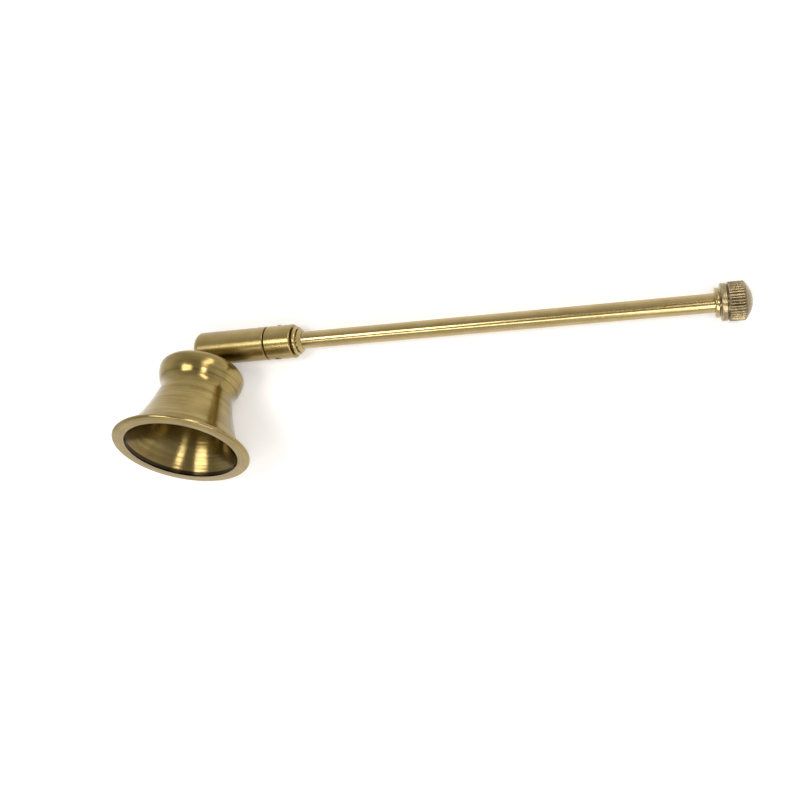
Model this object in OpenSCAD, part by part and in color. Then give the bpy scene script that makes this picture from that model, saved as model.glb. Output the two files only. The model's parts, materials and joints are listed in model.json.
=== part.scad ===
// Candle snuffer of brushed brass: a spun bell screwed under a turned barrel, which swivels
// on a thin tube handle with a knurled knob. It is modelled lying on its side, at rest on
// the barrel, the bell's shoulder and the knob, with +X along the handle to the knob.

/* [Bell] */
// Diameter over the rim of the mouth
rim_d = 40; // [36:0.5:60]
// Width of the flat rim, from its outer edge to the mouth
rim_w = 3.5; // [2.6:0.1:4.6]
// Thickness of the rim, which has a fully round outer edge
rim_t = 1.2; // [0.8:0.1:1.6]
// Diameter at which the flare meets the back of the rim
flare_d = 35.2; // [33:0.2:36]
// Radius of the flare's hollow curve
flare_r = 53; // [30:1:80]
// Height over the mouth at which the flare would meet the shoulder's swell
waist_h = 20.3; // [16:0.1:21]
// Diameter at which they would meet
waist_d = 21.3; // [18:0.1:23]
// Radius of the hollow that rounds that corner
waist_r = 4.5; // [2:0.5:6]
// Largest diameter of the shoulder above the waist
shoulder_d = 25.8; // [24.6:0.2:30]
// Radius of the shoulder's rounded top edge
shoulder_r = 2.1; // [1.4:0.1:2.4]
// Height of the bell, from the mouth to the top of its cap
bell_h = 28.1; // [26.5:0.1:32]
// Thickness of the spun wall
bell_wall = 0.45; // [0.4:0.05:0.9]
// Thickness of the lip that edges the mouth
mouth_lip_t = 0.3; // [0.2:0.05:0.4]
// Width of the turned line behind the lip
mouth_line_w = 0.5; // [0.3:0.05:0.6]
// Depth of that line
mouth_line_deep = 0.9; // [0.4:0.05:1]

/* [Neck and bell screw] */
// Diameter of the turned neck between the cap and the barrel
neck_d = 6; // [5:0.1:7]
// Height of the neck's seat for the barrel over the cap
neck_h = 3.4; // [2:0.1:5]
// Thread diameter of the screw that holds the bell
screw_d = 3; // [2.5:0.1:3.4]
// Length of the screw under its head
screw_len = 10; // [8:0.5:11]
// Diameter of the screw's pan head
screw_head_d = 5.6; // [5:0.1:6.5]
// Height of the screw's head
screw_head_h = 1.9; // [1.5:0.1:2.2]
// Width of each slot of the cross recess
recess_w = 0.8; // [0.6:0.1:1]
// Depth of the recess
recess_deep = 1; // [0.6:0.1:1.3]
// Diameter of the washer under the screw's head
bell_washer_d = 7; // [6.6:0.1:9]
// Thickness of that washer
bell_washer_t = 0.5; // [0.3:0.1:0.8]

/* [Barrel and collar] */
// Diameter of the barrel and of the collar behind it
barrel_d = 10.4; // [10:0.1:12]
// Length of the barrel, with its domed end
barrel_len = 24.9; // [22:0.1:30]
// Height of the dome on the barrel's end
barrel_dome = 2.9; // [2:0.1:4]
// Distance from the barrel's domed tip to the bell's axis
tip_to_bell = 4.4; // [3.6:0.1:5]
// Thickness of the barrel's wall round its bore
barrel_wall = 0.8; // [0.6:0.1:1.4]
// Depth of the bore, from the end that meets the collar
barrel_bore_deep = 17.5; // [12:0.5:17.5]
// Length of the collar
collar_len = 8.5; // [8:0.1:12]
// Thickness of the collar's front wall, which is drilled for the spindle only
collar_web = 2; // [1.5:0.1:2.3]
// Rounding of the collar's rear edge
collar_edge_r = 0.4; // [0.2:0.05:0.6]
// Bevel on the barrel's and the collar's facing edges
edge_break = 0.15; // [0.1:0.05:0.3]

/* [Swivel] */
// Length of the bush that is pressed into the barrel
bush_len = 5; // [4:0.5:8]
// Thickness of the washer in the groove between the barrel and the collar
swivel_washer_t = 0.4; // [0.3:0.05:0.6]
// Diameter of that washer
swivel_washer_d = 8.8; // [8:0.1:9.4]
// Free height of the cone spring behind the bush
spring_h = 0.6; // [0.4:0.1:0.9]
// Thickness of the spring's sheet
spring_t = 0.25; // [0.15:0.05:0.35]
// Outer diameter of the spring
spring_d = 7.4; // [6.6:0.1:7.8]
// Thickness of the open clip on the spindle
clip_t = 0.5; // [0.4:0.1:0.7]
// Outer diameter of the clip
clip_d = 7; // [6:0.1:7.6]
// Depth of the clip's groove in the spindle
clip_groove_deep = 0.5; // [0.3:0.1:0.7]
// Width of the clip's opening
clip_gap_w = 2.4; // [1.6:0.1:3]
// Spindle left standing past the clip
spindle_tip = 1; // [0.6:0.1:1.5]
// Length of the spindle that is soldered into the rod
spindle_tail = 8; // [6:1:30]
// Diameter of the pin across the collar
pin_d = 1.8; // [1.4:0.1:2.2]
// Distance from the groove to the pin
pin_from_groove = 3; // [2.4:0.1:4]
// How far one domed end of the pin stands out of the collar
pin_proud = 0.5; // [0.3:0.1:1]
// How far the pin's other end lies under the collar's surface
pin_sunk = 0.25; // [0.1:0.05:0.5]
// Turn of the pin about the handle, from the bell's axis
pin_turn = 20; // [0:1:180]

/* [Rod] */
// Diameter of the handle's tube
rod_d = 5.3; // [4.6:0.1:5.6]
// Thickness of the tube's wall
rod_wall = 0.4; // [0.35:0.05:0.7]
// Length of the tube that shows between the ferrule and the rear ring
rod_len = 119; // [80:0.1:260]
// Diameter of the ferrule's large bead, against the collar
bead_d = 8.9; // [8:0.1:9.4]
// Width of the large bead
bead_w = 1.3; // [0.8:0.05:1.6]
// Largest diameter of the ferrule's small bead, which slopes down to the rod
small_bead_d = 7.6; // [6.8:0.1:7.9]
// Width of the small bead
small_bead_w = 0.95; // [0.6:0.05:1.4]
// Width of the turned line between the two beads
bead_line_w = 0.4; // [0.2:0.05:0.6]
// Diameter at the bottom of that line
bead_line_d = 6.6; // [6.2:0.1:6.8]
// Length of the ferrule's spigot inside the collar
spigot_len = 2.8; // [2:0.1:3.2]
// Diameter of the spigot
spigot_d = 7; // [6.6:0.1:7.4]

/* [Knob] */
// Diameter of the ring at the end of the rod
ring_d = 8.1; // [7:0.1:9]
// Width of the ring
ring_w = 1.1; // [1:0.1:2]
// Gap between the ring and the knob
ring_gap = 0.35; // [0.3:0.05:1]
// Diameter of the knob's hub in that gap
hub_d = 5.6; // [5.4:0.1:6.8]
// Diameter of the plain band in front of the knurl
band_d = 10.2; // [9.6:0.1:11]
// Width of the plain band
band_w = 1.5; // [1.2:0.05:2.5]
// Width of the groove between the band and the knurl
knob_groove_w = 0.45; // [0.3:0.05:0.7]
// Diameter at the bottom of that groove
knob_groove_d = 9.7; // [8.4:0.1:10]
// Diameter over the knurl's ridges
knurl_d = 10.6; // [10:0.1:12]
// Depth of the knurl
knurl_deep = 0.4; // [0.1:0.05:0.4]
// Number of ridges round the knob
knurl_n = 40; // [24:1:48]
// Length of the knurled part
knurl_len = 3.9; // [2.5:0.1:6]
// Height of the domed end
knob_dome = 2.2; // [1.5:0.1:3]
// Length of the stud inside the tube
stud_tail = 6; // [5:1:20]
// Length of the stud inside the knob
stud_nose = 4.8; // [3:0.1:5.2]

/* [Fits] */
// Radial gap of pieces that are soldered, pressed or screwed together
fix_gap = 0.02; // [0.01:0.01:0.03]
// Radial gap of the turning spindle, and the end gap of the swivel
run_gap = 0.05; // [0.03:0.01:0.09]
// Radial gap of the bell's screw in its clear holes
screw_gap = 0.2; // [0.1:0.05:0.3]

/* [Hidden] */
$fn = 96;
over = 1;
arc_steps = 12;
brass = "#b5a26c";
dark_brass = "#a58f5a";
pale_brass = "#b69f74";
steel = "#8f9296";

// Places along the handle, from the domed tip of the barrel
s_bore = barrel_len - barrel_bore_deep;
s_bush = barrel_len - bush_len;
s_spring = s_bush - spring_h;
s_clip = s_spring - clip_t;
s_collar = barrel_len + swivel_washer_t + run_gap;
s_pin = s_collar + pin_from_groove;
s_ferrule = s_collar + collar_len;
bead_gap = run_gap * 4;
ferrule_len = bead_gap + bead_w + bead_line_w + small_bead_w;
s_rod = s_ferrule + ferrule_len;
s_tube = s_ferrule - spigot_len;
s_ring = s_rod + rod_len;
s_hub = s_ring + ring_w;
s_knob = s_hub + ring_gap;
s_knurl = s_knob + band_w + knob_groove_w;
s_dome = s_knurl + knurl_len;
handle_len = s_dome + knob_dome;

// Radii that follow from the fits
rim_r = rim_d / 2;
mouth_r = rim_r - rim_w;
barrel_r = barrel_d / 2;
bore_r = barrel_r - barrel_wall;
rod_r = rod_d / 2;
tube_r = rod_r - rod_wall;
spindle_r = tube_r - fix_gap;
screw_hole_r = screw_d / 2 + screw_gap;
axis_h = bell_h + neck_h + barrel_r;
shoulder_h = bell_h - shoulder_r;
washer_top = bell_h - bell_wall;

// Points of the arc about c that starts at p and turns the short way towards q
function arc(c, p, q, n = arc_steps) =
  let (u = p - c, w = q - c, turn = atan2(u[0] * w[1] - u[1] * w[0], u * w))
  [for (i = [0:n]) let (a = turn * i / n)
    c + [u[0] * cos(a) - u[1] * sin(a), u[0] * sin(a) + u[1] * cos(a)]];

// Centre of the circle of radius r through p and q, on the right as one goes from p to q
function arc_centre(p, q, r) =
  let (d = q - p, half = norm(d) / 2)
  (p + q) / 2 + [d[1], -d[0]] / norm(d) * sqrt(r * r - half * half);

// Lower point where the circle of radius ra about a meets the circle of radius rb about b
function lower_cross(a, ra, b, rb) =
  let (d = norm(b - a), x = (ra * ra - rb * rb + d * d) / (2 * d), h = sqrt(ra * ra - x * x),
    e = (b - a) / d, p = a + e * x + [-e[1], e[0]] * h, q = a + e * x - [-e[1], e[0]] * h)
  p[1] < q[1] ? p : q;

// Point of the circle of radius r about c at height z, on its left
function left_at(c, r, z) = [c[0] - sqrt(r * r - pow(z - c[1], 2)), z];

// The bell's outline turns on four arcs, each with the wall's offset as its inner twin
waist = [waist_d / 2, waist_h];
flare_foot = [flare_d / 2, rim_t];
flare_c = arc_centre(waist, flare_foot, -flare_r)[0] > waist[0]
  ? arc_centre(waist, flare_foot, -flare_r) : arc_centre(flare_foot, waist, flare_r);
belly_top = [shoulder_d / 2, shoulder_h];
belly_r = (pow(shoulder_h - waist_h, 2) + pow(belly_top[0] - waist[0], 2)) / (2 * (belly_top[0] - waist[0]));
belly_c = [belly_top[0] - belly_r, shoulder_h];
shoulder_c = [belly_top[0] - shoulder_r, shoulder_h];
waist_c = lower_cross(flare_c, flare_r - waist_r, belly_c, belly_r + waist_r);
to_flare = (waist_c - flare_c) / (flare_r - waist_r);
to_belly = (waist_c - belly_c) / (belly_r + waist_r);
line_top = mouth_lip_t + mouth_line_w;
inner_foot = left_at(flare_c, flare_r + bell_wall, line_top);
rim_edge_c = [rim_r - rim_t / 2, rim_t / 2];

// The two turns that lay the snuffer on its side. The dip lets the barrel and the thicker
// knob both touch the ground, the lean lets the bell's shoulder touch it with the mouth up.
knob_r = knurl_d / 2;
dip = -atan2(knob_r - barrel_r, s_dome - barrel_dome);
axis_up = barrel_r * cos(dip) - (tip_to_bell - barrel_dome) * sin(dip);
drop = axis_h - shoulder_c[1];
lean = atan2(shoulder_c[0], drop) + asin((shoulder_r - axis_up) / norm([drop, shoulder_c[0]]));
roll = -90 - asin(sin(lean) / cos(dip));
mouth_up = axis_up + axis_h * sin(lean);

// The pin's outline as points of [radius, height], and how far it reaches to the side
pin_dome_r = ((pin_d * pin_d) / 4 + pin_proud * pin_proud) / (2 * pin_proud);
pin_r = pin_d / 2 - fix_gap;
pin_dome_c = [0, barrel_r + pin_proud - pin_dome_r];
pin_points = concat(
  [[0, pin_sunk - barrel_r], [pin_r, pin_sunk - barrel_r]],
  arc(pin_dome_c, pin_dome_c + pin_dome_r * [pin_r / pin_dome_r, sqrt(1 - pow(pin_r / pin_dome_r, 2))],
    [0, barrel_r + pin_proud])
);
pin_side = -sin(roll + pin_turn);
pin_reach = max([for (p = pin_points) p[1] * pin_side + p[0] * sqrt(1 - pin_side * pin_side)]);

// Direction of the bell's axis after those turns, and the box round the part
bell_dir = [cos(roll) * sin(dip), -sin(roll), cos(roll) * cos(dip)];
dome_ball_r = (knob_r * knob_r + knob_dome * knob_dome) / (2 * knob_dome);
low_x = rim_edge_c[1] * bell_dir[0] - rim_edge_c[0] * sqrt(1 - pow(bell_dir[0], 2)) - rim_t / 2;
high_x = (handle_len - dome_ball_r - tip_to_bell) * cos(dip) + axis_h * bell_dir[0] + dome_ball_r;
low_y = rim_edge_c[1] * bell_dir[1] - rim_edge_c[0] * sqrt(1 - pow(bell_dir[1], 2)) - rim_t / 2;
high_y = axis_h * bell_dir[1] + max(knob_r, pin_reach);
to_middle = [-(low_x + high_x) / 2, -(low_y + high_y) / 2, mouth_up];

module laid_down() {
  translate(to_middle) rotate([roll, dip, 0]) children();
}

// Stands children on the handle's axis, s from the barrel's tip, with their Z towards the knob
module on_handle(s) {
  laid_down() translate([s - tip_to_bell, 0, axis_h]) rotate([0, 90, 0]) children();
}

// A turned solid from points of [radius, length]
module turned(points) {
  rotate_extrude() polygon(points);
}

// A round disc or tube from z with an inner radius
module disc(r, r_in, h) {
  difference() {
    cylinder(r = r, h = h);
    translate([0, 0, -over]) cylinder(r = r_in, h = h + 2 * over);
  }
}

module bell() {
  inner_belly = belly_c + to_belly * (belly_r - bell_wall);
  inner_flare = flare_c + to_flare * (flare_r + bell_wall);
  outside = concat(
    arc(rim_edge_c, [rim_edge_c[0], 0], [rim_r, rim_t / 2]),
    arc(rim_edge_c, [rim_r, rim_t / 2], [rim_edge_c[0], rim_t]),
    arc(flare_c, flare_foot, flare_c + to_flare * flare_r),
    arc(waist_c, flare_c + to_flare * flare_r, belly_c + to_belly * belly_r),
    arc(belly_c, belly_c + to_belly * belly_r, belly_top),
    arc(shoulder_c, belly_top, [shoulder_c[0], bell_h])
  );
  inside = concat(
    [[screw_hole_r, bell_h], [screw_hole_r, washer_top]],
    arc(shoulder_c, [shoulder_c[0], washer_top], belly_top - [bell_wall, 0]),
    arc(belly_c, belly_top - [bell_wall, 0], inner_belly),
    arc(waist_c, inner_belly, inner_flare),
    arc(flare_c, inner_flare, inner_foot),
    [[mouth_r + mouth_line_deep, line_top], [mouth_r + mouth_line_deep, mouth_lip_t]],
    [[mouth_r, mouth_lip_t], [mouth_r, 0]]
  );
  color(brass) laid_down() turned(concat(outside, inside));
}

module bell_neck() {
  color(dark_brass) laid_down() difference() {
    translate([0, 0, bell_h]) disc(neck_d / 2, screw_hole_r, neck_h + barrel_r);
    translate([-neck_d, 0, axis_h]) rotate([0, 90, 0]) cylinder(r = barrel_r + fix_gap, h = 2 * neck_d);
    translate([-neck_d, -neck_d, axis_h - barrel_r / 2]) cube([2 * neck_d, 2 * neck_d, barrel_r]);
  }
}

module bell_screw() {
  seat = washer_top - bell_washer_t;
  crown = screw_head_h / 4;
  color(steel) laid_down() difference() {
    translate([0, 0, seat - screw_head_h]) turned([
      [0, 0], [screw_head_d / 2 - crown, 0], [screw_head_d / 2, crown], [screw_head_d / 2, screw_head_h],
      [screw_d / 2 - fix_gap, screw_head_h], [screw_d / 2 - fix_gap, screw_head_h + screw_len - crown],
      [screw_d / 2 - crown, screw_head_h + screw_len], [0, screw_head_h + screw_len]
    ]);
    for (turn = [0, 90])
      translate([0, 0, seat - screw_head_h - over]) rotate([0, 0, turn])
        translate([-screw_head_d * 0.35, -recess_w / 2, 0])
          cube([screw_head_d * 0.7, recess_w, recess_deep + over]);
  }
}

module bell_washer() {
  color(steel) laid_down() translate([0, 0, washer_top - bell_washer_t])
    disc(bell_washer_d / 2, screw_hole_r, bell_washer_t);
}

module barrel() {
  dome = [for (i = [0:arc_steps]) let (a = 90 * i / arc_steps)
    [barrel_r * sin(a), barrel_dome * (1 - cos(a))]];
  hole_top = washer_top - bell_washer_t + screw_len + screw_d / 4;
  color(brass) difference() {
    on_handle(0) turned(concat(dome, [
      [barrel_r, barrel_len - edge_break], [barrel_r - edge_break, barrel_len],
      [bore_r, barrel_len], [bore_r, s_bore], [0, s_bore - bore_r / 6]
    ]));
    laid_down() translate([0, 0, bell_h]) cylinder(r = screw_d / 2, h = hole_top - bell_h);
  }
}

module swivel_bush() {
  color(dark_brass) on_handle(s_bush) disc(bore_r - fix_gap, spindle_r + run_gap, bush_len);
}

module swivel_spring() {
  inner = spindle_r + run_gap;
  color(steel) on_handle(s_spring) turned([
    [inner, 0], [inner, spring_t], [spring_d / 2, spring_h], [spring_d / 2, spring_h - spring_t]
  ]);
}

module swivel_clip() {
  inner = spindle_r - clip_groove_deep + fix_gap;
  color(steel) on_handle(s_clip) difference() {
    disc(clip_d / 2, inner, clip_t);
    translate([0, -clip_gap_w / 2, -over]) cube([clip_d, clip_gap_w, clip_t + 2 * over]);
  }
}

module swivel_spindle() {
  s_tip = s_clip - spindle_tip;
  s_tail = s_rod + spindle_tail;
  groove_r = spindle_r - clip_groove_deep;
  color(steel) difference() {
    on_handle(s_tip) turned([
      [0, 0], [spindle_r - edge_break, 0], [spindle_r, edge_break],
      [spindle_r, spindle_tip - fix_gap], [groove_r, spindle_tip - fix_gap],
      [groove_r, spindle_tip + clip_t + fix_gap], [spindle_r, spindle_tip + clip_t + fix_gap],
      [spindle_r, s_tail - s_tip - edge_break], [spindle_r - edge_break, s_tail - s_tip], [0, s_tail - s_tip]
    ]);
    on_pin() cylinder(r = pin_d / 2, h = 2 * barrel_d, center = true);
  }
}

module swivel_washer() {
  color(dark_brass) on_handle(barrel_len + run_gap)
    disc(swivel_washer_d / 2, spindle_r + fix_gap, swivel_washer_t);
}

// Stands children on the pin's axis, which crosses the handle, with Z towards its proud end
module on_pin() {
  on_handle(s_pin) rotate([0, 0, pin_turn]) rotate([0, -90, 0]) children();
}

module collar() {
  edge_c = [barrel_r - collar_edge_r, collar_len - collar_edge_r];
  color(brass) difference() {
    on_handle(s_collar) turned(concat([
      [spindle_r + fix_gap, 0], [barrel_r - edge_break, 0], [barrel_r, edge_break]],
      arc(edge_c, [barrel_r, edge_c[1]], [edge_c[0], collar_len]), [
      [spigot_d / 2 + fix_gap, collar_len], [spigot_d / 2 + fix_gap, collar_web],
      [spindle_r + fix_gap, collar_web]
    ]));
    on_pin() cylinder(r = pin_d / 2, h = 2 * barrel_d, center = true);
  }
}

module collar_pin() {
  color(dark_brass) on_pin() turned(pin_points);
}

module ferrule() {
  hole_r = rod_r + fix_gap;
  bead_z = spigot_len + bead_gap;
  line_z = bead_z + bead_w;
  small_z = line_z + bead_line_w;
  bead_c = [bead_d / 2 - bead_w / 2, bead_z + bead_w / 2];
  color(brass) on_handle(s_tube) turned(concat(
    [[hole_r, 0], [spigot_d / 2, 0], [spigot_d / 2, bead_z]],
    arc(bead_c, [bead_c[0], bead_z], [bead_d / 2, bead_c[1]]),
    arc(bead_c, [bead_d / 2, bead_c[1]], [bead_c[0], line_z]),
    [[bead_line_d / 2, line_z], [bead_line_d / 2, small_z], [small_bead_d / 2, small_z]],
    [[hole_r + edge_break, small_z + small_bead_w], [hole_r, small_z + small_bead_w]]
  ));
}

module rod() {
  color(brass) on_handle(s_tube) disc(rod_r, tube_r, s_ring - s_tube);
}

module rod_ring() {
  round_r = ring_w / 4;
  low_c = [ring_d / 2 - round_r, round_r];
  high_c = [ring_d / 2 - round_r, ring_w - round_r];
  color(brass) on_handle(s_ring) turned(concat(
    [[spindle_r + fix_gap, 0]],
    arc(low_c, [low_c[0], 0], [ring_d / 2, round_r]),
    arc(high_c, [ring_d / 2, high_c[1]], [high_c[0], ring_w]),
    [[spindle_r + fix_gap, ring_w]]
  ));
}

module knob_stud() {
  stud_len = stud_tail + ring_w + ring_gap + stud_nose;
  color(steel) on_handle(s_ring - stud_tail) turned([
    [0, 0], [spindle_r - edge_break, 0], [spindle_r, edge_break],
    [spindle_r, stud_len - edge_break], [spindle_r - edge_break, stud_len], [0, stud_len]
  ]);
}

module knob() {
  round_r = band_w / 5;
  low_c = [band_d / 2 - round_r, ring_gap + round_r];
  high_c = [band_d / 2 - round_r, ring_gap + band_w - round_r];
  knurl_z = ring_gap + band_w + knob_groove_w;
  dome_z = knurl_z + knurl_len;
  ball_c = [0, dome_z + knob_dome - dome_ball_r];
  hole_r = spindle_r + fix_gap;
  hole_deep = ring_gap + stud_nose + fix_gap;
  crest = knurl_deep / 4;
  ridges = [for (i = [0:2 * knurl_n - 1])
    let (a = 180 * (i + 0.5) / knurl_n, r = i % 2 == 0 ? knob_r + crest : knob_r - knurl_deep)
    r * [cos(a), sin(a)]];
  color(pale_brass) on_handle(s_hub) difference() {
    union() {
      turned(concat(
        [[0, 0], [hub_d / 2, 0], [hub_d / 2, ring_gap]],
        arc(low_c, [low_c[0], ring_gap], [band_d / 2, low_c[1]]),
        arc(high_c, [band_d / 2, high_c[1]], [high_c[0], ring_gap + band_w]),
        [[knob_groove_d / 2, ring_gap + band_w], [knob_groove_d / 2, knurl_z], [0, knurl_z]]
      ));
      intersection() {
        translate([0, 0, knurl_z]) linear_extrude(knurl_len + knob_dome) polygon(ridges);
        turned(concat([[0, knurl_z]], [[knob_r - knurl_deep / 2, knurl_z], [knob_r, knurl_z + knurl_deep / 2]],
          arc(ball_c, [knob_r, dome_z], [0, dome_z + knob_dome])));
      }
    }
    translate([0, 0, -over]) cylinder(r = hole_r, h = hole_deep + over);
  }
}

bell();
bell_neck();
bell_screw();
bell_washer();
barrel();
swivel_bush();
swivel_spring();
swivel_clip();
swivel_spindle();
swivel_washer();
collar();
collar_pin();
ferrule();
rod();
rod_ring();
knob_stud();
knob();
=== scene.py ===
import json
import math

import bmesh
import bpy
from mathutils import Matrix, Vector


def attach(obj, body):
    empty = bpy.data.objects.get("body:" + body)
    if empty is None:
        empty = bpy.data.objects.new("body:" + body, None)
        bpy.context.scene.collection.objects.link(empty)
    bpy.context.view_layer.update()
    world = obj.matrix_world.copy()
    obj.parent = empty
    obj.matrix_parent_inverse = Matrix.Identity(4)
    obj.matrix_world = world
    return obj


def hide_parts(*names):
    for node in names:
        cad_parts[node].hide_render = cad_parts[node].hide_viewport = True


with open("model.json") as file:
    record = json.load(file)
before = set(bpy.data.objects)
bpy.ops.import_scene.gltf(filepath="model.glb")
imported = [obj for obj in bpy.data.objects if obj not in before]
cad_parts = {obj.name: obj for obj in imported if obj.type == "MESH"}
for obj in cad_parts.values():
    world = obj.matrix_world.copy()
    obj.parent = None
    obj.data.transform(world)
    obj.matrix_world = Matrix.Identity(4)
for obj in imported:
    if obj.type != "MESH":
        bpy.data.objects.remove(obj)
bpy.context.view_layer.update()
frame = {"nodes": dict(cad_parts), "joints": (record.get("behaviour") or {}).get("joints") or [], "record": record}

# The camera hangs over the knob and looks down along the handle to the bell, as the
# photograph was taken, with the object off the middle of a larger picture. Its place, turn
# and lens come from a fit to the photograph's edges.
camera = bpy.data.objects.new("camera", bpy.data.cameras.new("camera"))
bpy.context.scene.collection.objects.link(camera)
bpy.context.scene.camera = camera
looks = Vector((-0.268265, 0.030068, -0.962876)).normalized()
rightward = Vector((0.960236, -0.071893, -0.269775))
rightward = (rightward - looks * rightward.dot(looks)).normalized()
camera.matrix_world = Matrix.Translation((0.062232, 0.001867, 0.236975)) @ Matrix(
    (rightward, rightward.cross(looks), -looks)
).transposed().to_4x4()
camera.data.sensor_width = 36
camera.data.lens = 36.785
camera.data.shift_x = -0.02263
camera.data.shift_y = -0.05026
camera.data.clip_start = 0.01
camera.data.clip_end = 10

# The bell is spun from sheet brass over a former and trimmed on the lathe, so its rim,
# flare, waist and shoulder all run round one axis and carry fine tool rings.
mm = 0.001
swivel = frame["joints"][0]
along_handle = -Vector(swivel["axis"]).normalized()
rim_face = [m for m in frame["record"]["mounts"] if m["name"] == "mouth_rim"][0]
up_bell = -Vector(rim_face["axis"]).normalized()
rim_face_out = 18 * mm
mouth_centre = Vector(rim_face["pos_m"]) - rim_face_out * along_handle
bell_place = Matrix((along_handle, up_bell.cross(along_handle), up_bell)).transposed().to_4x4()
bell_place.translation = mouth_centre
# The handle's frame has its Z along the handle and starts at the barrel's domed tip
across_handle = up_bell.cross(along_handle)
handle_place = Matrix((-up_bell, across_handle, along_handle)).transposed().to_4x4()
tip_to_swivel = 25.1 * mm
handle_place.translation = Vector(swivel["pos_m"]) - tip_to_swivel * along_handle


def lathe(name, place, start, moves, steps=192):
    """Walks a lathe tool from start, a point of (radius, length) in mm, along straight cuts
    ("to", radius, length) and round ones ("round", centre radius, centre length, degrees, cuts),
    which a last number squeezes lengthwise, and spins the outline round the piece's axis."""
    mesh = bmesh.new()
    tip = mesh.verts.new((start[0] * mm, 0, start[1] * mm))
    for move in moves:
        if move[0] == "to":
            step = bmesh.ops.extrude_vert_indiv(mesh, verts=[tip])["verts"][0]
            step.co = (move[1] * mm, 0, move[2] * mm)
            tip = step
        else:
            centre = Vector((move[1], 0, move[2])) * mm
            squeeze = move[5] if len(move) == 6 else 1
            before = set(mesh.verts) - {tip}
            tip.co.z = centre.z + (tip.co.z - centre.z) / squeeze
            cut = bmesh.ops.spin(
                mesh, geom=[tip], cent=centre, axis=(0, -1, 0),
                angle=math.radians(move[3]), steps=move[4],
            )
            tip = [v for v in cut["geom_last"] if isinstance(v, bmesh.types.BMVert)][0]
            bmesh.ops.scale(
                mesh, vec=(1, 1, squeeze), space=Matrix.Translation(-centre),
                verts=[v for v in mesh.verts if v not in before],
            )
    bmesh.ops.spin(
        mesh, geom=mesh.verts[:] + mesh.edges[:], cent=(0, 0, 0), axis=(0, 0, 1),
        angle=2 * math.pi, steps=steps, use_merge=True,
    )
    bmesh.ops.remove_doubles(mesh, verts=mesh.verts, dist=0.002 * mm)
    bmesh.ops.recalc_face_normals(mesh, faces=mesh.faces)
    bmesh.ops.transform(mesh, matrix=place, verts=mesh.verts)
    return finish_piece(name, mesh)


crisp_turn = 32


def finish_piece(name, mesh, crisp=crisp_turn):
    """Makes a piece of the mesh, smooth but for edges that turn by more than crisp degrees."""
    data = bpy.data.meshes.new(name)
    mesh.to_mesh(data)
    mesh.free()
    for face in data.polygons:
        face.use_smooth = True
    data.set_sharp_from_angle(angle=math.radians(crisp))
    piece = bpy.data.objects.new(name, data)
    bpy.context.scene.collection.objects.link(piece)
    return piece


def colour(hex_value):
    """The linear colour of an sRGB hex value."""
    parts = [int(hex_value[i:i + 2], 16) / 255 for i in (0, 2, 4)]
    return [c / 12.92 if c < 0.04045 else ((c + 0.055) / 1.055) ** 2.4 for c in parts] + [1]


def add(material, kind, inputs=None, **settings):
    """Adds a node, sets it, and fills its sockets with values or with other nodes' outputs."""
    node = material.node_tree.nodes.new(kind)
    for key, value in settings.items():
        setattr(node, key, value)
    for key, value in (inputs or {}).items():
        if isinstance(value, bpy.types.NodeSocket):
            material.node_tree.links.new(value, node.inputs[key])
        else:
            node.inputs[key].default_value = value
    return node


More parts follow.
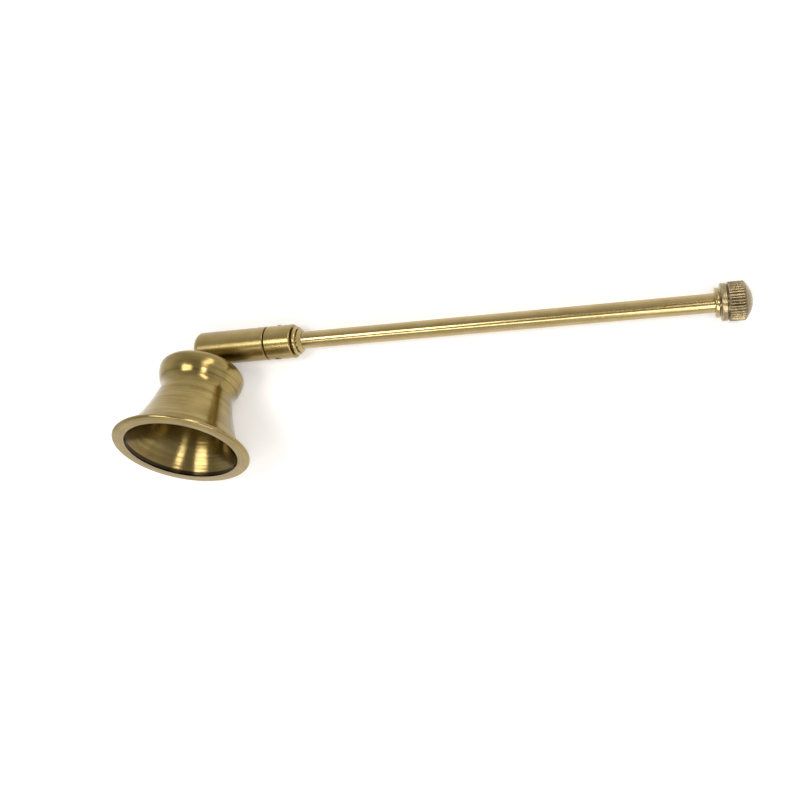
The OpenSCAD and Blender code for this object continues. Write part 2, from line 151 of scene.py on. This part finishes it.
def turned_brass(name, place, light, dark, rough, ring_mm, cut_um,
                 stretch=0.6, streak=0.35, darkening_attribute=""):
    """Brass turned or spun round the piece's own axis: the tool leaves rings, ring_mm apart
    and cut_um deep, which drag each highlight out along the axis, and handling has toned it.
    A thin clear lacquer pales the highlights, and the colour is painted towards dark brown, as shade, where the
    darkening attribute is high."""
    brass = bpy.data.materials.new(name)
    brass.use_nodes = True
    shader = brass.node_tree.nodes["Principled BSDF"]
    back = place.inverted()
    where = add(brass, "ShaderNodeTexCoord").outputs["Object"]
    local = add(brass, "ShaderNodeMapping", {
        "Vector": where, "Location": back.translation, "Rotation": back.to_euler()}).outputs[0]
    axes = add(brass, "ShaderNodeSeparateXYZ", {0: local})
    flat = add(brass, "ShaderNodeCombineXYZ", {0: axes.outputs[0], 1: axes.outputs[1]}).outputs[0]
    radius = add(brass, "ShaderNodeVectorMath", {0: flat}, operation="LENGTH").outputs["Value"]
    turn = add(brass, "ShaderNodeMath", {0: axes.outputs[1], 1: axes.outputs[0]}, operation="ARCTAN2")
    # Round the piece the rings waver slowly, as if a radian were only this long
    waver = 0.6 * mm
    along = add(brass, "ShaderNodeMath", {0: turn.outputs[0], 1: waver}, operation="MULTIPLY")
    cut = add(brass, "ShaderNodeCombineXYZ", {0: radius, 1: along.outputs[0], 2: axes.outputs[2]})
    rings = add(brass, "ShaderNodeTexNoise", {
        "Vector": cut.outputs[0], "Scale": 1 / (ring_mm * mm), "Detail": 3.0, "Roughness": 0.6})
    bump = add(brass, "ShaderNodeBump", {
        "Height": rings.outputs["Fac"], "Strength": 1.0, "Distance": cut_um * 1e-6})
    # Toning lies in soft clouds a few millimetres across
    cloud_width = 6 * mm
    clouds = add(brass, "ShaderNodeTexNoise", {
        "Vector": where, "Scale": 1 / cloud_width, "Detail": 4.0, "Roughness": 0.55})
    toned = add(brass, "ShaderNodeMath", {
        0: rings.outputs["Fac"], 1: streak, 2: 0.5 - streak / 2}, operation="MULTIPLY_ADD")
    tone = add(brass, "ShaderNodeMath", {
        0: clouds.outputs["Fac"], 1: 0.9, 2: -0.45}, operation="MULTIPLY_ADD")
    both = add(brass, "ShaderNodeMath", {0: toned.outputs[0], 1: tone.outputs[0]}, operation="ADD")
    both.use_clamp = True
    skin = add(brass, "ShaderNodeMix", {
        "Factor": both.outputs[0], 6: colour(dark), 7: colour(light)}, data_type="RGBA")
    # The darkening attribute mixes in a dark brown: painted shade, and on the knob's dome a slightly darker tone
    if darkening_attribute:
        darkening_brown = "261a0a"
        darkening = add(brass, "ShaderNodeAttribute", attribute_name=darkening_attribute).outputs["Fac"]
        skin = add(brass, "ShaderNodeMix", {
            "Factor": darkening, 6: skin.outputs[2], 7: colour(darkening_brown)}, data_type="RGBA")
    gloss = add(brass, "ShaderNodeMapRange", {
        "Value": both.outputs[0], "From Min": 0.2, "From Max": 0.8,
        "To Min": rough * 1.25, "To Max": rough * 0.85})
    # The highlight's drag runs square to the rings, which lie round the axis
    minus_y = add(brass, "ShaderNodeMath", {0: axes.outputs[1], 1: -1.0}, operation="MULTIPLY")
    round_it = add(brass, "ShaderNodeCombineXYZ", {0: minus_y.outputs[0], 1: axes.outputs[0]})
    placed = add(brass, "ShaderNodeMapping", {
        "Vector": round_it.outputs[0], "Rotation": place.to_euler()}, vector_type="VECTOR")
    tangent = add(brass, "ShaderNodeVectorTransform", {
        0: placed.outputs[0]}, vector_type="VECTOR", convert_from="OBJECT", convert_to="WORLD")
    shader.inputs["Metallic"].default_value = 1
    shader.inputs["Anisotropic"].default_value = stretch
    shader.inputs["Anisotropic Rotation"].default_value = 0.25
    shader.inputs["Coat Weight"].default_value = 0.25
    shader.inputs["Coat Roughness"].default_value = rough * 0.6
    link = brass.node_tree.links.new
    link(skin.outputs[2], shader.inputs["Base Color"])
    link(gloss.outputs[0], shader.inputs["Roughness"])
    link(bump.outputs[0], shader.inputs["Normal"])
    link(tangent.outputs[0], shader.inputs["Tangent"])
    return brass


# The middles of the outline's arcs, which its outer and inner side share: a rounded rim, a
# flare of 53 mm radius, a waist of 4.5, a slow belly and a shoulder of 2.1
rim_edge, flare, waist = (19.4, 0.6), (63.0061, 28.5366), (15.4226, 19.1524)
belly, shoulder = (4.555, 26), (10.8, 26)
cap, cap_inside, screw_hole = 28.1, 27.65, 1.7
mouth, turned_line = 16.5, 17.4
bell = lathe("bell_spun", bell_place, (mouth, 0), [
    ("to", 19.4, 0), ("round", *rim_edge, 180, 16), ("to", 17.6, 1.2),
    ("round", *flare, -19.894, 36), ("round", *waist, -43.37, 20),
    ("round", *belly, 32.215, 20), ("round", *shoulder, 90, 14),
    ("to", screw_hole, cap), ("to", screw_hole, cap_inside), ("to", 10.8, cap_inside),
    ("round", *shoulder, -90, 12), ("round", *belly, -32.215, 20),
    ("round", *waist, 43.37, 20), ("round", *flare, 20.103, 36),
    ("to", turned_line, 0.8), ("to", turned_line, 0.3), ("to", mouth, 0.3), ("to", mouth, 0),
], steps=256)
# Painted shade: the inside is darkened towards brown, and the line turned behind the lip is nearly black
to_bell = bell_place.inverted()
inside_shade = bell.data.attributes.new("inside_shade", "FLOAT", "FACE")
line_top, cap_zone = 1.7 * mm, 20 * mm
for face in bell.data.polygons:
    middle = to_bell @ face.center
    facing = to_bell.to_3x3() @ face.normal
    outward = Vector((middle.x, middle.y, 0)).normalized().dot(facing)
    if outward < -0.05 or (middle.z > cap_zone and facing.z < -0.5):
        inside_shade.data[face.index].value = 0.95 if middle.z < line_top else 0.3
# The spinning rings are drawn about 1 mm apart, as coarse as they show in the photograph
bell.data.materials.append(turned_brass(
    "spun_brass", bell_place, "a3905a", "74602f", 0.2, 1.1, 60,
    stretch=0.55, streak=1.5, darkening_attribute="inside_shade"))
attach(bell, "head")
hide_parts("bell")

# A short turned brass neck stands between the bell's cap and the barrel. It is saddled out
# at the top to fit round the barrel, and it has darkened where no hand rubs it.
dark_brass = turned_brass(
    "darkened_brass", bell_place, "8f7a48", "66532c", 0.34, 0.5, 4, stretch=0.4)


def drill(piece, place, radius, start, depth):
    """Cuts a round hole into piece along the Z of place, from start, all in mm."""
    mesh = bmesh.new()
    bmesh.ops.create_cone(
        mesh, cap_ends=True, segments=96, radius1=radius * mm, radius2=radius * mm, depth=depth * mm)
    bmesh.ops.translate(mesh, vec=(0, 0, (start + depth / 2) * mm), verts=mesh.verts)
    bmesh.ops.transform(mesh, matrix=place, verts=mesh.verts)
    bit = finish_piece("bit", mesh)
    hole = piece.modifiers.new("hole", "BOOLEAN")
    hole.solver = "EXACT"
    hole.object = bit
    cut_piece = piece.evaluated_get(bpy.context.evaluated_depsgraph_get())
    bored = bpy.data.meshes.new_from_object(cut_piece)
    piece.modifiers.clear()
    piece.data = bored
    bored.name = piece.name
    bored.set_sharp_from_angle(angle=math.radians(crisp_turn))
    bpy.data.objects.remove(bit)


neck_radius, neck_top, saddle_radius = 3, 33.5, 5.22
neck = lathe("bell_neck_turned", bell_place, (screw_hole, cap), [
    ("to", neck_radius, cap), ("to", neck_radius, neck_top), ("to", screw_hole, neck_top),
    ("to", screw_hole, cap)], steps=96)
drill(neck, handle_place, saddle_radius, -1, 12)
neck.data.materials.append(dark_brass)
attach(neck, "head")
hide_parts("bell_neck")

# A zinc-plated steel pan-head screw and its plain washer hold the bell to the barrel from
# inside. The cross recess is punched into the head before the thread is rolled.


def plated_steel(name, light, dark, rough, grain_mm):
    """Small steel parts, tumbled and plated: a grey, faintly clouded skin with a fine grain."""
    steel = bpy.data.materials.new(name)
    steel.use_nodes = True
    shader = steel.node_tree.nodes["Principled BSDF"]
    where = add(steel, "ShaderNodeTexCoord").outputs["Object"]
    grain = add(steel, "ShaderNodeTexNoise", {
        "Vector": where, "Scale": 1 / (grain_mm * mm), "Detail": 3.0})
    clouds = add(steel, "ShaderNodeTexNoise", {
        "Vector": where, "Scale": 1 / (1.5 * mm), "Detail": 3.0, "Roughness": 0.6})
    skin = add(steel, "ShaderNodeMix", {
        "Factor": clouds.outputs["Fac"], 6: colour(dark), 7: colour(light)}, data_type="RGBA")
    gloss = add(steel, "ShaderNodeMapRange", {
        "Value": grain.outputs["Fac"], "From Min": 0.3, "From Max": 0.7,
        "To Min": rough * 0.8, "To Max": rough * 1.25})
    bump = add(steel, "ShaderNodeBump", {"Height": grain.outputs["Fac"], "Distance": 4e-6})
    shader.inputs["Metallic"].default_value = 1
    link = steel.node_tree.links.new
    link(skin.outputs[2], shader.inputs["Base Color"])
    link(gloss.outputs[0], shader.inputs["Roughness"])
    link(bump.outputs[0], shader.inputs["Normal"])
    return steel


screw_steel = plated_steel("zinc_plated_steel", "b4b6b8", "8c8e90", 0.3, 0.12)
# The head's flat side lies on the washer at seat, and its crown faces the mouth
seat, head_height = 27.15, 1.9
screw = bmesh.new()
crown = bmesh.ops.create_circle(screw, radius=2.1 * mm, segments=48)["verts"]
bmesh.ops.translate(screw, vec=(0, 0, (seat - head_height) * mm), verts=crown)
edge = screw.edges[:]
# Head: out and round the crown, up the side, in along the seat, up the shank to its end
for radius, height in (
    (2.35, -1.86), (2.58, -1.72), (2.74, -1.5), (2.8, -1.25), (2.8, 0),
    (1.48, 0), (1.48, 9.5), (1.1, 10),
):
    grown = bmesh.ops.extrude_edge_only(screw, edges=edge)["geom"]
    verts = [g for g in grown if isinstance(g, bmesh.types.BMVert)]
    edge = [g for g in grown if isinstance(g, bmesh.types.BMEdge)]
    size = verts[0].co.xy.length
    bmesh.ops.scale(screw, vec=(radius * mm / size, radius * mm / size, 1), verts=verts)
    bmesh.ops.translate(screw, vec=(0, 0, (seat + height) * mm - verts[0].co.z), verts=verts)
bmesh.ops.contextual_create(screw, geom=edge)
rim = [e for e in screw.edges if e.is_boundary]
reach, half = 1.96, 0.4
arm = [
    screw.verts.new((x * mm, y * mm, (seat - head_height) * mm))
    for x, y in (
        (reach, -half), (reach, half), (half, half), (half, reach), (-half, reach), (-half, half),
        (-reach, half), (-reach, -half), (-half, -half), (-half, -reach), (half, -reach),
        (half, -half))
]
cross = [screw.edges.new((arm[i - 1], arm[i])) for i in range(12)]
bmesh.ops.bridge_loops(screw, edges=rim + cross)
grown = bmesh.ops.extrude_edge_only(screw, edges=cross)["geom"]
floor_of_recess = [g for g in grown if isinstance(g, bmesh.types.BMVert)]
recess_taper, recess_depth = 0.72, 1.0 * mm
bmesh.ops.scale(screw, vec=(recess_taper, recess_taper, 1), verts=floor_of_recess)
bmesh.ops.translate(screw, vec=(0, 0, recess_depth), verts=floor_of_recess)
bmesh.ops.contextual_create(screw, geom=[g for g in grown if isinstance(g, bmesh.types.BMEdge)])
bmesh.ops.recalc_face_normals(screw, faces=screw.faces)
bmesh.ops.transform(screw, matrix=bell_place, verts=screw.verts)
screw = finish_piece("bell_screw_pan_head", screw)
screw.data.materials.append(screw_steel)
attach(screw, "head")
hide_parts("bell_screw")
frame["nodes"]["bell_washer"].material_slots[0].material = screw_steel

# The barrel is a length of brass bar, turned to a low dome at its end, bored from the other
# end for the swivel, and brushed to a satin that pulls its highlights out lengthwise.
satin = turned_brass(
    "turned_satin_brass", handle_place, "ab9763", "84703e", 0.28, 0.4, 6, stretch=0.6, streak=0.4)
bar_radius, dome, barrel_end, bore, bore_floor = 5.2, 2.9, 24.9, 4.4, 7.4
barrel = lathe("barrel_turned", handle_place, (0, 0), [
    ("round", 0, dome, 90, 24, dome / bar_radius), ("to", bar_radius, 24.75),
    ("to", 5.05, barrel_end), ("to", bore, barrel_end), ("to", bore, bore_floor),
    ("to", 0, 6.667),
])
thread_hole, hole_from, hole_depth = 1.5, 29, 8.9
drill(barrel, bell_place, thread_hole, hole_from, hole_depth)
barrel.data.materials.append(satin)
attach(barrel, "head")
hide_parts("barrel")

# Inside the barrel a brass bush, a cone spring and an open clip hold the steel spindle, and
# a thin washer fills the groove in front of the collar, where only its edge shows; its brass is painted near black
# as the groove's shade.
swivel_steel = plated_steel("spring_steel", "8d8f91", "6a6c6e", 0.25, 0.1)
for node in ("swivel_spring", "swivel_clip", "swivel_spindle"):
    frame["nodes"][node].material_slots[0].material = swivel_steel
shaded_groove_brass = turned_brass(
    "shaded_groove_brass", handle_place, "4a3a1c", "2c2210", 0.4, 0.3, 3, stretch=0.3)
frame["nodes"]["swivel_bush"].material_slots[0].material = dark_brass
frame["nodes"]["swivel_washer"].material_slots[0].material = shaded_groove_brass

# The collar is turned from the same bar as the barrel. A brass pin is driven across it and
# through the spindle; it stands proud on one side and lies just under the surface opposite.
tube_bore, collar_face, web, socket = 2.25, 25.35, 27.35, 3.52
collar = lathe("collar_turned", handle_place, (tube_bore, collar_face), [
    ("to", 5.05, collar_face), ("to", bar_radius, 25.5), ("to", bar_radius, 33.45),
    ("round", 4.8, 33.45, 90, 8), ("to", socket, 33.85), ("to", socket, web),
    ("to", tube_bore, web), ("to", tube_bore, collar_face),
])
pin_along, pin_turn, pin_radius = 28.35 * mm, math.radians(20), 0.9
pin_place = (
    handle_place @ Matrix.Translation((0, 0, pin_along))
    @ Matrix.Rotation(pin_turn, 4, "Z") @ Matrix.Rotation(math.radians(-90), 4, "Y"))
drill(collar, pin_place, pin_radius, -8, 16)
collar.data.materials.append(satin)
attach(collar, "handle")
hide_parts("collar")
pin = lathe("collar_pin_driven", pin_place, (0, -4.95), [
    ("to", 0.78, -4.95), ("to", 0.88, -4.85), ("to", 0.88, 5.231), ("round", 0, 4.64, 56.1, 8),
], steps=48)
pin.data.materials.append(turned_brass(
    "pin_brass", pin_place, "8a7544", "5f4d28", 0.32, 0.2, 3, stretch=0.2))
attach(pin, "handle")
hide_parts("collar_pin")

# The ferrule is turned with a large and a small bead and a line between them, and its spigot
# is soldered into the collar with the rod inside it.
bright = turned_brass(
    "polished_brass", handle_place, "baa674", "8d794a", 0.2, 0.3, 2, stretch=0.3, streak=0.2)
spigot, rod_start, inside = 3.5, 31.05, 2.67
ferrule = lathe("ferrule_turned", handle_place, (inside, rod_start), [
    ("to", spigot, rod_start), ("to", spigot, 34.05), ("to", 3.8, 34.05),
    ("round", 3.8, 34.7, 180, 20), ("to", 3.3, 35.35), ("to", 3.3, 35.75), ("to", 3.7, 35.75),
    ("to", 3.76, 35.8), ("to", 2.84, 36.68), ("to", 2.82, 36.7), ("to", inside, 36.7),
    ("to", inside, rod_start),
], steps=160)
ferrule.data.materials.append(bright)
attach(ferrule, "handle")
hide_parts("ferrule")

# The rod is thin drawn brass tube, linished round its axis, so that the light runs along it
# in one sharp line.
rod_radius, rod_end = 2.65, 155.7
rod = lathe("rod_drawn", handle_place, (tube_bore, rod_start), [
    ("to", rod_radius, rod_start), ("to", rod_radius, rod_end), ("to", tube_bore, rod_end),
    ("to", tube_bore, rod_start)], steps=160)
rod.data.materials.append(turned_brass(
    "drawn_brass", handle_place, "bda878", "94804f", 0.18, 0.25, 2, stretch=0.7, streak=0.25))
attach(rod, "handle")
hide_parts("rod")

# A plain ring with rounded edges lies against the end of the rod. The knob's stud runs
# through it into the rod and holds it there.
ring_end = 156.8
ring = lathe("rod_ring_turned", handle_place, (tube_bore, rod_end), [
    ("to", 3.775, rod_end), ("round", 3.775, 155.975, 90, 10), ("to", 4.05, 156.525),
    ("round", 3.775, 156.525, 90, 10), ("to", tube_bore, ring_end), ("to", tube_bore, rod_end),
], steps=128)
ring.data.materials.append(bright)
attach(ring, "handle")
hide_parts("rod_ring")

# The knob is a brass casting, screwed onto a steel stud. A band, a groove and a low dome are
# turned on it, and ridges of uneven depth are pressed round its middle.
hub_end, knurl_start, dome_start = 157.15, 159.1, 163
knurl_radius, knurl_depth, groove_radius = 5.3, 0.4, 4.85
ridges, cuts = 40, 8
knob = lathe("knob_blank", Matrix(), (0, 161.97), [
    ("to", 2.25, 161.97), ("to", 2.25, ring_end), ("to", 2.8, ring_end), ("to", 2.8, hub_end),
    ("to", 4.8, hub_end), ("round", 4.8, 157.45, 90, 8), ("to", 5.1, 158.35),
    ("round", 4.8, 158.35, 70, 6), ("to", groove_radius, 158.65),
    ("to", groove_radius, knurl_start), ("to", 5.1, knurl_start),
    ("to", knurl_radius, 159.3), ("to", knurl_radius, 160.1), ("to", knurl_radius, 161.0),
    ("to", knurl_radius, 161.9), ("to", knurl_radius, 162.6), ("to", knurl_radius, dome_start),
    ("round", 0, 157.716, 45.09, 36),
], steps=ridges * cuts)
blank = bmesh.new()
blank.from_mesh(knob.data)
bpy.data.objects.remove(knob)
# Painted shade darkens the groove and the valleys between the ridges; the dome is darkened a little all over
valley_shade_and_dome_tone = blank.verts.layers.float.new("valley_shade_and_dome_tone")
knurl_from = knurl_start + 0.05
rows = [[] for _ in range(ridges * cuts)]
for v in blank.verts:
    if 158.5 * mm < v.co.z < knurl_from * mm and v.co.xy.length < 4.9 * mm:
        v[valley_shade_and_dome_tone] = 0.8
    elif v.co.z > (dome_start + 0.05) * mm:
        v[valley_shade_and_dome_tone] = 0.22
    if v.co.z > knurl_from * mm and v.co.xy.length > 4.8 * mm:
        turn = math.atan2(v.co.y, v.co.x) / (2 * math.pi)
        rows[round(turn * ridges * cuts) % (ridges * cuts)].append(v)
# Painted shade: each valley is darkened by its depth, and the ridges' ends at the dome by half
for row, cut in enumerate(rows):
    ridge, step = divmod(row, cuts)
    deep = (0, 0.1, 0.5, 0.9, 1, 0.9, 0.5, 0.1)[step]
    uneven = 0.86 + 0.14 * math.sin(ridge * 2.4) * math.cos(ridge * 0.7)
    valley = (knurl_radius - knurl_depth * deep * uneven) * mm
    for v in cut:
        size = min(1, valley / v.co.xy.length)
        bmesh.ops.scale(blank, vec=(size, size, 1), verts=[v])
        v[valley_shade_and_dome_tone] = 0.9 * deep * uneven if v.co.z < (dome_start - 0.1) * mm else 0.5
bmesh.ops.transform(blank, matrix=handle_place, verts=blank.verts)
knob = finish_piece("knob_knurled", blank, crisp=40)
cast = turned_brass(
    "cast_brass", handle_place, "b7a37c", "6f5f40", 0.27, 0.7, 70,
    stretch=0.1, streak=1.4, darkening_attribute="valley_shade_and_dome_tone")
knob.data.materials.append(cast)
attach(knob, "handle")
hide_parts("knob")
frame["nodes"]["knob_stud"].material_slots[0].material = screw_steel

# The object lies on a white table, which stays white to the eye but keeps a soft shadow.
bpy.context.scene.view_settings.view_transform = "Standard"


def looked_at(material):
    """1 for what the camera sees, also in metal or through glass, and 0 for what lights things."""
    rays = add(material, "ShaderNodeLightPath").outputs
    direct = add(material, "ShaderNodeMath", {
        0: rays["Is Camera Ray"], 1: rays["Is Glossy Ray"]}, operation="MAXIMUM")
    return add(material, "ShaderNodeMath", {
        0: direct.outputs[0], 1: rays["Is Transmission Ray"]}, operation="MAXIMUM").outputs[0]


table_top = bmesh.new()
bmesh.ops.create_grid(table_top, x_segments=1, y_segments=1, size=3)
table_top = finish_piece("table_top", table_top)
white = bpy.data.materials.new("white_laminate")
white.use_nodes = True
table_shader = white.node_tree.nodes["Principled BSDF"]
table_shader.inputs["Base Color"].default_value = colour("f4f1ee")
table_shader.inputs["Roughness"].default_value = 0.7
# Past the reach of the panels the table glows more, so that it stays white to its far edge
spot = add(white, "ShaderNodeTexCoord").outputs["Object"]
off = add(white, "ShaderNodeVectorMath", {0: spot}, operation="LENGTH").outputs["Value"]
lift = add(white, "ShaderNodeMapRange", {
    "Value": off, "From Min": 0.25, "From Max": 1.0, "To Min": 0.3, "To Max": 0.75})
glow = add(white, "ShaderNodeMath", {
    0: looked_at(white), 1: lift.outputs[0]}, operation="MULTIPLY")
glow = add(white, "ShaderNodeEmission", {"Color": colour("ffffff"), "Strength": glow.outputs[0]})
both = add(white, "ShaderNodeAddShader", {
    0: table_shader.outputs[0], 1: glow.outputs[0]})
white.node_tree.links.new(
    both.outputs[0], white.node_tree.nodes["Material Output"].inputs["Surface"])
table_top.data.materials.append(white)

# The room is white to the horizon and greyer overhead
room = bpy.data.worlds.new("room")
bpy.context.scene.world = room
room.use_nodes = True
way = add(room, "ShaderNodeTexCoord").outputs["Generated"]
height = add(room, "ShaderNodeSeparateXYZ", {0: way})
ceiling = add(room, "ShaderNodeMapRange", {"Value": height.outputs[2], "From Min": 0.3, "From Max": 0.95})
shade = add(room, "ShaderNodeMix", {
    "Factor": ceiling.outputs[0], 6: colour("ffffff"), 7: colour("a8a49c")}, data_type="RGBA")
level = add(room, "ShaderNodeMapRange", {"Value": looked_at(room), "To Min": 0.4, "To Max": 1.0})
sky = room.node_tree.nodes["Background"]
room.node_tree.links.new(shade.outputs[2], sky.inputs["Color"])
room.node_tree.links.new(level.outputs[0], sky.inputs["Strength"])


def soft_panel(name, place, wide, high, watts):
    """A lamp behind a square of cloth, aimed at the object, which shows in the brass as a bar."""
    lamp = bpy.data.lights.new(name, "AREA")
    lamp.shape = "RECTANGLE"
    lamp.size, lamp.size_y, lamp.energy = wide, high, watts
    panel = bpy.data.objects.new(name, lamp)
    bpy.context.scene.collection.objects.link(panel)
    panel.matrix_world = (
        Matrix.Translation(place)
        @ (-Vector(place)).to_track_quat("-Z", "Y").to_matrix().to_4x4())


soft_panel("panel_left", (-0.175, 0.06, 0.464), 0.14, 0.2, 0.7)
soft_panel("panel_right", (0.187, 0.0, 0.464), 0.12, 0.1, 0.32)
soft_panel("strip_back", (0.266, 0.275, 0.32), 0.12, 0.3, 0.68)
soft_panel("strip_front", (0.133, -0.347, 0.335), 0.1, 0.25, 0.47)
soft_panel("panel_front", (-0.06, -0.225, 0.44), 0.36, 0.1, 0.5)
